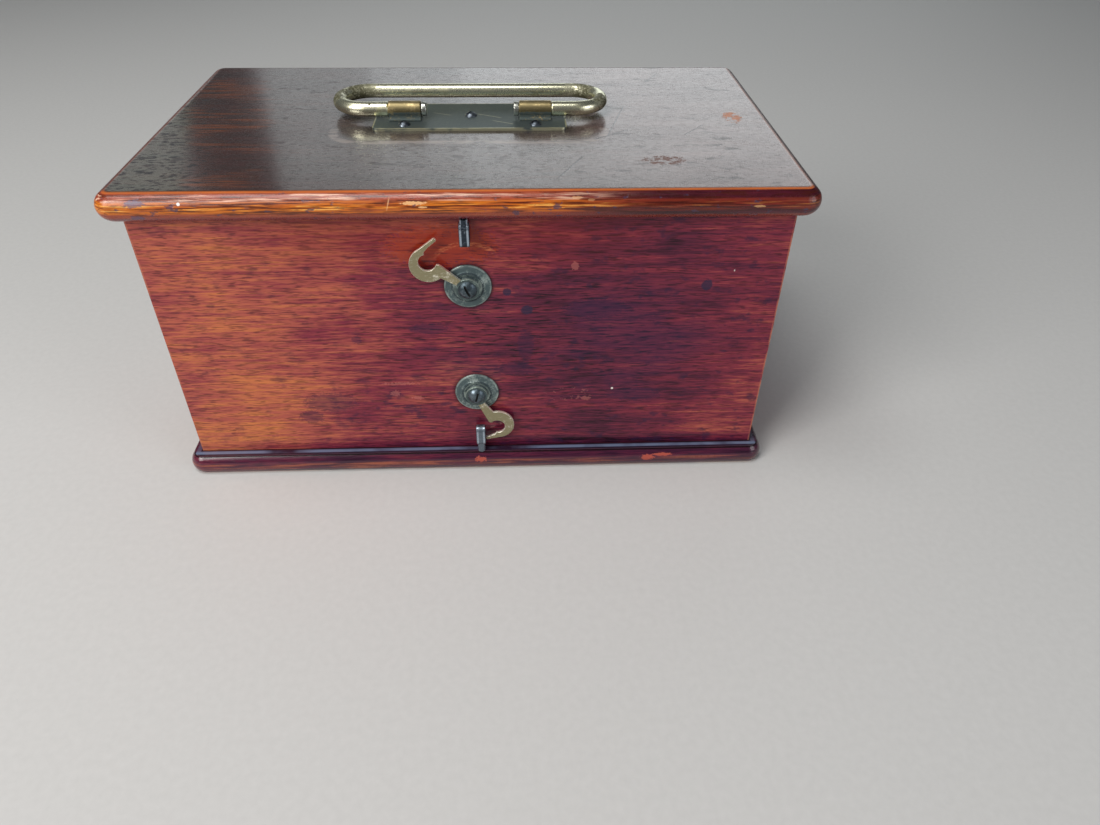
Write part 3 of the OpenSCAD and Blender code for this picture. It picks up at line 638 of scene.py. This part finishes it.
def plate_finish():
    f = Metal("handle plate brass", 5.0)
    x, y = f.x, f.y
    edge_x = abs(x) - plate_high[0]
    edge_y = abs(y) - plate_high[1]
    edge = edge_x.most(edge_y).past(-0.9, -0.3)
    edge = edge * f.patchy((0.12, 0.12, 0.4)).past(0.30, 0.50)
    lines = (
        f.scratch_line(x, y, (4, 2), (14, -3), 0.4)
        .most(f.scratch_line(x, y, (12, -8), (20, -12), 0.4))
        .most(f.scratch_line(x, y, (-18, 4), (-11, 1), 0.3)))
    return f.aged(
        paint(206, 204, 172), paint(94, 105, 105), paint(70, 84, 86), tarnish=0.82, green=0.04,
        brightened=edge * 0.95 + lines * 0.6, rough=0.36, metal=0.8, relief=0.03)


def lug_finish():
    f = Metal("handle lug brass", 8.0)
    upper = f.z.past(pivot_z + 1.2, pivot_z + 2.6)
    lower = f.z.past(pivot_z + 0.6, pivot_z - 1.0)
    return f.aged(
        paint(196, 176, 128), paint(116, 106, 76), paint(70, 82, 80), tarnish=0.6,
        green=lower * 0.5 - 0.02, brightened=upper * 0.25, rough=0.32, metal=0.9, relief=0.03)


def hook_finish():
    """A dull flat face, a round boss as dark as the washer, and edges painted bright as a
    highlight.
    """
    f = Metal("hook brass", 11.0)
    face = f.y.past(hook_face + 0.08, hook_face + 0.02)
    boss = strongest([
        distance(f.x - pivot[0], f.z - pivot[1]).past(5.7, 5.3) for pivot in pivots])
    return f.aged(
        f.mix(boss, paint(250, 246, 228), paint(150, 168, 160)),
        f.mix(boss, paint(150, 143, 112), paint(80, 94, 94)),
        f.mix(boss, paint(70, 68, 48), paint(50, 62, 64)), tarnish=0.08 + face * 0.58,
        # the edges off the face are kept bright as a painted highlight
        green=face * 0.30 - 0.20, brightened=(1 - face) * 0.5, rough=0.34, metal=0.66, relief=0.04)


def washer_finish():
    """The ring and the rim are rubbed bright, and the grooves beside the ring are dark."""
    f = Metal("washer brass", 15.0)
    rubs, grooves = [], []
    for pivot in pivots:
        away = distance(f.x - pivot[0], f.z - pivot[1])
        rim = away.band(washer_r - 0.6, washer_r, 0.3) * 0.7
        rubs.append(away.band(5.7, 6.3, 0.3).most(rim))
        groove = away.band(6.7, 7.4, 0.4).most(away.band(4.8, 5.6, 0.3))
        grooves.append(groove * away.past(washer_r + 1, washer_r))
    brightened = strongest(rubs) * f.patchy((0.22, 0.22, 0.22), (1, 2, 3)).past(0.34, 0.56)
    return f.aged(
        paint(168, 182, 176), paint(88, 104, 106), paint(46, 60, 64), tarnish=0.62,
        green=strongest(grooves) * 0.45, brightened=brightened * 0.8, rough=0.40, metal=0.7, relief=0.04)


def plate_screw_finish():
    f = Metal("plate screw steel", 39.0)
    return f.aged(
        paint(118, 126, 134), paint(62, 68, 76), paint(44, 42, 44), green=-0.04, rough=0.32)


def hook_screw_finish():
    """Blackened heads, with the slots painted near black as shade."""
    f = Metal("hook screw steel", 31.0)
    # painted shade in the slots, laid on through the patina colour
    slot = strongest([
        distance(f.x - pivot[0], f.z - pivot[1]).past(2.9, 2.6)
        * f.y.past(screw_face + 0.88, screw_face + 1.0) for pivot in pivots])
    return f.aged(
        paint(112, 124, 132), paint(66, 78, 84), paint(14, 16, 18), green=slot * 0.9 - 0.10,
        relief=0.015)


def eye_finish():
    """Dark flats and bright rounded edges, the edges painted bright as highlights. The lower eye
    is the paler one.
    """
    f = Metal("eye steel", 35.0)
    # bright bands down each side of the wire are painted highlights
    edges = []
    for low, high in (size_of("upper_eye"), size_of("lower_eye")):
        off = abs(f.x - (low[0] + high[0]) / 2)
        edges.append(off.band(1.25, 1.85, 0.25) * f.z.band(low[2], high[2], 0.5))
    lower = f.z.past(upper_pivot[1], lower_pivot[1])
    return f.aged(
        paint(184, 198, 212), f.mix(lower, paint(52, 60, 70), paint(112, 124, 134)),
        f.mix(lower, paint(34, 36, 42), paint(62, 70, 76)), tarnish=0.72, green=-0.02,
        brightened=strongest(edges) * 0.8, rough=0.24, metal=0.86, relief=0.015)


def button_finish():
    f = Metal("handle button nickel", 21.0)
    return f.aged(
        paint(190, 192, 184), paint(140, 142, 134), paint(90, 92, 80), tarnish=0.4, green=-0.05,
        rough=0.28)


def hinge_finish(name, seed):
    f = Metal(name, seed)
    return f.aged(
        paint(178, 150, 92), paint(112, 92, 52), paint(64, 62, 44), green=-0.02, rough=0.34,
        metal=0.92, relief=0.03)


# ---- the finishes of the frame's own nodes ----

front = case_finish("front mahogany", 0, 1.0, in_front=True)
back = case_finish("back mahogany", 0, 6.0)
sides = case_finish("side mahogany", 1, 11.0)
brass = hinge_finish("hinge brass", 3.0)
hinge_screw = hinge_finish("hinge screw brass", 7.0)
hook_brass = hook_finish()
hook_steel = hook_screw_finish()
eye_steel = eye_finish()
plate_steel = plate_screw_finish()
lug_brass = lug_finish()
nickel = button_finish()
dressed = {
    "base_board": base_finish(), "front_board": front, "back_board": back,
    "left_board": sides, "right_board": sides, "till_floor": till_finish(),
    "lid_board": lid_finish(), "upper_hook": hook_brass, "lower_hook": hook_brass,
    "upper_hook_screw": hook_steel, "lower_hook_screw": hook_steel,
    "upper_eye": eye_steel, "lower_eye": eye_steel, "handle_screws": plate_steel,
    "handle_plate": plate_finish(), "handle_lug_left": lug_brass, "handle_lug_right": lug_brass,
    "bail_button_left": nickel, "bail_button_right": nickel,
}
washer_brass = washer_finish()
bail_brass = bail_finish()
for name, node in nodes.items():
    if name in dressed:
        finish = dressed[name]
    elif "screws" in name:
        finish = hinge_screw
    elif "leaf" in name or "pin" in name:
        finish = brass
    elif "washer" in name:
        finish = washer_brass
    else:
        finish = bail_brass
    for place in node.material_slots:
        place.material = finish

# Edges are eased by hand: width in millimetres of the rounding on each node
EASED = {
    "base_board": 0.5, "front_board": 0.45, "back_board": 0.45, "left_board": 0.3,
    "right_board": 0.3, "till_floor": 0.3, "handle_plate": 0.35, "handle_lug_left": 0.4,
    "handle_lug_right": 0.4, "bail_button_left": 0.5, "bail_button_right": 0.5,
    "upper_hook": 0.5, "lower_hook": 0.5, "upper_eye": 0.6, "lower_eye": 0.6,
}
EASED_ANGLE = math.radians(38)
SAME_POINT = 0.002 * MM
for name, width in EASED.items():
    weld = nodes[name].modifiers.new("joined", "WELD")
    weld.merge_threshold = SAME_POINT
    ease = nodes[name].modifiers.new("eased", "BEVEL")
    ease.width = width * MM
    ease.segments = 3
    ease.limit_method = "ANGLE"
    ease.angle_limit = EASED_ANGLE
    ease.use_clamp_overlap = True
    even = nodes[name].modifiers.new("even", "WEIGHTED_NORMAL")
    even.keep_sharp = False


# ---- pieces made by rules ----

def made(name, lay_out, sizes, finish, body, slot, *instead):
    """Runs a tree of geometry nodes once and keeps its mesh as a piece on a body."""
    tree = bpy.data.node_groups.new(name, "GeometryNodeTree")
    tree.interface.new_socket("Geometry", in_out="OUTPUT", socket_type="NodeSocketGeometry")
    for label in sizes:
        tree.interface.new_socket(label, in_out="INPUT", socket_type="NodeSocketFloat")
    bench = Bench(tree)
    given = tree.nodes.new("NodeGroupInput")
    result = lay_out(bench, {label: Link(tree, given.outputs[label]) for label in sizes})
    done = bench.node("GeometryNodeSetMaterial", None, {"Geometry": result, "Material": finish})
    closing = tree.nodes.new("NodeGroupOutput")
    tree.links.new(done.socket, closing.inputs[0])
    piece = bpy.data.objects.new(name, bpy.data.meshes.new(name))
    bpy.context.scene.collection.objects.link(piece)
    rule = piece.modifiers.new("rule", "NODES")
    rule.node_group = tree
    for item in tree.interface.items_tree:
        if item.item_type == "SOCKET" and item.in_out == "INPUT":
            rule[item.identifier] = sizes[item.name]
    bpy.context.view_layer.update()
    ready = piece.evaluated_get(bpy.context.evaluated_depsgraph_get())
    mesh = bpy.data.meshes.new_from_object(ready)
    piece.modifiers.clear()
    piece.data = mesh
    mesh.materials.clear()
    mesh.materials.append(finish)
    mesh.polygons.foreach_set("use_smooth", [True] * len(mesh.polygons))
    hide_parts(*instead)
    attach(piece, body)


# The rod is turned down to a neck inside each lug. Its mesh has ROUND points round it and along
# each bend, and a ring of them every STEP. UNEVEN is how far its thickness strays from true.
NECK_R = 2.2 * MM
SHOULDER_X = (lug_out + 0.15) * MM
SHOULDER_RUN = 0.3 * MM
STEP = 0.4 * MM
UNEVEN = 0.08 * MM
ROUND = 40


def bail_rule(bench, size):
    """The rod runs from button to button through two legs, two bends and the grip."""
    far = size["Half length"]
    front, back = size["Front"], size["Front"] + size["Reach"]
    corners = [
        bench.join(size["Neck end"], front, size["Height"]),
        bench.join(far, front, size["Height"]),
        bench.join(far, back, size["Height"]),
        bench.join(far * -1, back, size["Height"]),
        bench.join(far * -1, front, size["Height"]),
        bench.join(size["Neck end"] * -1, front, size["Height"])]
    which = bench.node("GeometryNodeInputIndex")
    place = corners[0]
    for number, corner in enumerate(corners[1:], 1):
        place = bench.choose(which.maths("GREATER_THAN", which, number - 0.5), place, corner)
    line = bench.node("GeometryNodeMeshLine", None, {"Count": len(corners)})
    line = bench.node("GeometryNodeSetPosition", None, {"Geometry": line, "Position": place})
    path = bench.node("GeometryNodeMeshToCurve", None, {"Mesh": line})
    # just under half the reach, so that the two bends at each end don't meet
    path = bench.node("GeometryNodeFilletCurve", {"mode": "POLY"}, {
        "Curve": path, "Count": ROUND, "Radius": size["Reach"] * 0.4999})
    path = bench.node(
        "GeometryNodeResampleCurve", {"mode": "LENGTH"}, {"Curve": path, "Length": STEP})
    spot = bench.node("GeometryNodeInputPosition")
    x, y, _ = bench.split(spot)
    leg = abs(y - front).past(2 * MM, 1 * MM)
    neck = abs(x).past(SHOULDER_X, SHOULDER_X - SHOULDER_RUN) * leg
    thick = size["Rod"] * (1 - neck) + size["Neck"] * neck
    hand = bench.noise(spot, 90, 2) - 0.5
    ring = bench.node(
        "GeometryNodeCurvePrimitiveCircle", None, {"Resolution": ROUND, "Radius": 1.0})
    return bench.node("GeometryNodeCurveToMesh", None, {
        "Curve": path, "Profile Curve": ring, "Scale": thick + hand * UNEVEN, "Fill Caps": True})


made("drop_handle", bail_rule, {
    "Half length": (bail_high[0] - rod_r) * MM, "Front": pivot_y * MM, "Height": pivot_z * MM,
    "Reach": (bail_high[1] - rod_r - pivot_y) * MM, "Rod": rod_r * MM, "Neck": NECK_R,
    "Neck end": button_low[0] * MM}, bail_brass, "bail", "bail_brass", "handle_bail")

# The washer's section, from the rim's foot at the wood up over the face and down the bore: the
# share of the way, then the share of the radius, then the share of the thickness
WASHER_SECTION = (
    (0.0, 1.0, 0.0), (0.04, 1.0, 0.24), (0.07, 0.985, 0.31), (0.10, 0.955, 0.35),
    (0.34, 0.74, 0.44), (0.40, 0.69, 0.56), (0.46, 0.65, 0.70), (0.54, 0.60, 0.72),
    (0.60, 0.55, 0.66), (0.66, 0.50, 0.62), (0.72, 0.445, 0.86), (0.78, 0.43, 0.99),
    (0.84, 0.2, 1.0), (1.0, 0.18, 0.0))


def washer_rule(bench, size):
    """A turned washer: a thin rim, a dished face, a raised ring and a seat for the hook."""
    grid = bench.node("GeometryNodeMeshGrid", None, {
        "Size X": 1.0, "Size Y": 1.0, "Vertices X": 97, "Vertices Y": 41})
    u, v, _ = bench.split(bench.node("GeometryNodeInputPosition"))
    turn = (u + 0.5) * math.tau
    share = v + 0.5
    out, up = (
        bench.node("ShaderNodeFloatCurve", {
            "curve": [(row[0], row[column]) for row in WASHER_SECTION]}, {"Value": share})
        for column in (1, 2))
    radius = out * size["Radius"]
    turned = bench.join(
        radius * turn.maths("COSINE", turn), up * size["Thickness"] * -1,
        radius * turn.maths("SINE", turn))
    washer = bench.node("GeometryNodeSetPosition", None, {"Geometry": grid, "Position": turned})
    washer = bench.node(
        "GeometryNodeMergeByDistance", None, {"Geometry": washer, "Distance": 0.001 * MM})
    which = bench.node("GeometryNodeInputIndex")
    place = bench.choose(
        which.maths("GREATER_THAN", which, 0.5),
        bench.join(size["Upper X"], size["Face"], size["Upper Z"]),
        bench.join(size["Lower X"], size["Face"], size["Lower Z"]))
    places = bench.node("GeometryNodeMeshLine", None, {"Count": 2})
    places = bench.node("GeometryNodeSetPosition", None, {"Geometry": places, "Position": place})
    pair = bench.node("GeometryNodeInstanceOnPoints", None, {"Points": places, "Instance": washer})
    return bench.node("GeometryNodeRealizeInstances", None, {"Geometry": pair})


made("hook_washers", washer_rule, {
    "Radius": washer_r * MM, "Thickness": (washer_high[1] - washer_low[1]) * MM,
    "Face": washer_high[1] * MM,
    "Upper X": upper_pivot[0] * MM, "Upper Z": upper_pivot[1] * MM,
    "Lower X": lower_pivot[0] * MM, "Lower Z": lower_pivot[1] * MM},
    washer_brass, "case", "washer_brass", "upper_hook_washer", "lower_hook_washer")


# ---- studio: metres and watts ----

BOX_MIDDLE = (0, 0, 0.07)
# A row of panes behind, brighter to the right, with a dark gap before the last on the left: the
# left and right side of each, and its glow
PANES = (
    (-1.21, -0.75, 1.5), (-0.554, -0.30, 1.9), (-0.30, -0.10, 3.3), (-0.10, 0.10, 4.6),
    (0.10, 1.07, 4.4))
PANE_HIGH = 0.56
PANE_Y, PANE_Z = 1.5, 0.62
FLOOR_HALF = 4.0


def lamp(name, place, aim, size, power, colour):
    data = bpy.data.lights.new(name, "AREA")
    data.shape = "RECTANGLE"
    data.size, data.size_y = size
    data.energy = power
    data.color = colour
    thing = bpy.data.objects.new(name, data)
    thing.location = place
    thing.rotation_euler = (Vector(aim) - Vector(place)).to_track_quat("-Z", "Y").to_euler()
    thing.visible_camera = False
    bpy.context.scene.collection.objects.link(thing)


def studio():
    scene = bpy.context.scene
    scene.view_settings.view_transform = "Standard"
    world = bpy.data.worlds.new("room")
    scene.world = world
    world.use_nodes = True
    air = world.node_tree.nodes["Background"].inputs
    air["Color"].default_value = (0.82, 0.88, 0.96, 1)
    air["Strength"].default_value = 0.08
    lamp("key", (-1.0, -1.0, 1.0), BOX_MIDDLE, (0.8, 0.8), 19.5, (1.0, 0.97, 0.95))
    lamp("side", (1.2, -0.9, 0.6), BOX_MIDDLE, (0.8, 0.8), 5.5, (0.96, 0.96, 1.0))
    lamp("overhead", (-0.34, -0.22, 1.3), (-0.2, -0.05, 0.1), (0.8, 0.5), 8, (1.0, 0.99, 0.97))
    for number, (left, right, glow) in enumerate(PANES):
        middle, width = (left + right) / 2, right - left
        lamp(
            f"window pane {number}", (middle, PANE_Y, PANE_Z), (middle, 0, PANE_Z),
            (width, PANE_HIGH), glow * width * PANE_HIGH, (0.93, 0.98, 1.0))
    mesh = bpy.data.meshes.new("floor")
    half = FLOOR_HALF
    corners = [(-half, -half, 0), (half, -half, 0), (half, half, 0), (-half, half, 0)]
    mesh.from_pydata(corners, [], [(0, 1, 2, 3)])
    floor = bpy.data.objects.new("floor", mesh)
    scene.collection.objects.link(floor)
    f = Finish("studio floor")
    grit = f.patchy((0.3, 0.3, 0.3), detail=3)
    mesh.materials.append(
        f.finish(f.mix(grit, paint(196, 196, 194), paint(206, 206, 204)), 0.7))


# Where the camera stands, its lens in millimetres, and how far it is turned, in degrees
CAMERA_AT = (0.02118, -0.40499, 0.28910)
LENS, SENSOR = 26.1307636, 36.0
PAN, DOWN, ROLL = -2.86, 38.72, 0.75


def camera():
    data = bpy.data.cameras.new("camera")
    data.sensor_fit = "HORIZONTAL"
    data.sensor_width = SENSOR
    data.lens = LENS
    data.clip_start = 0.01
    thing = bpy.data.objects.new("camera", data)
    thing.matrix_world = (
        Matrix.Translation(CAMERA_AT)
        @ Matrix.Rotation(math.radians(PAN), 4, "Z")
        @ Matrix.Rotation(math.radians(90 - DOWN), 4, "X")
        @ Matrix.Rotation(math.radians(ROLL), 4, "Z"))
    bpy.context.scene.collection.objects.link(thing)
    bpy.context.scene.camera = thing


studio()
camera()
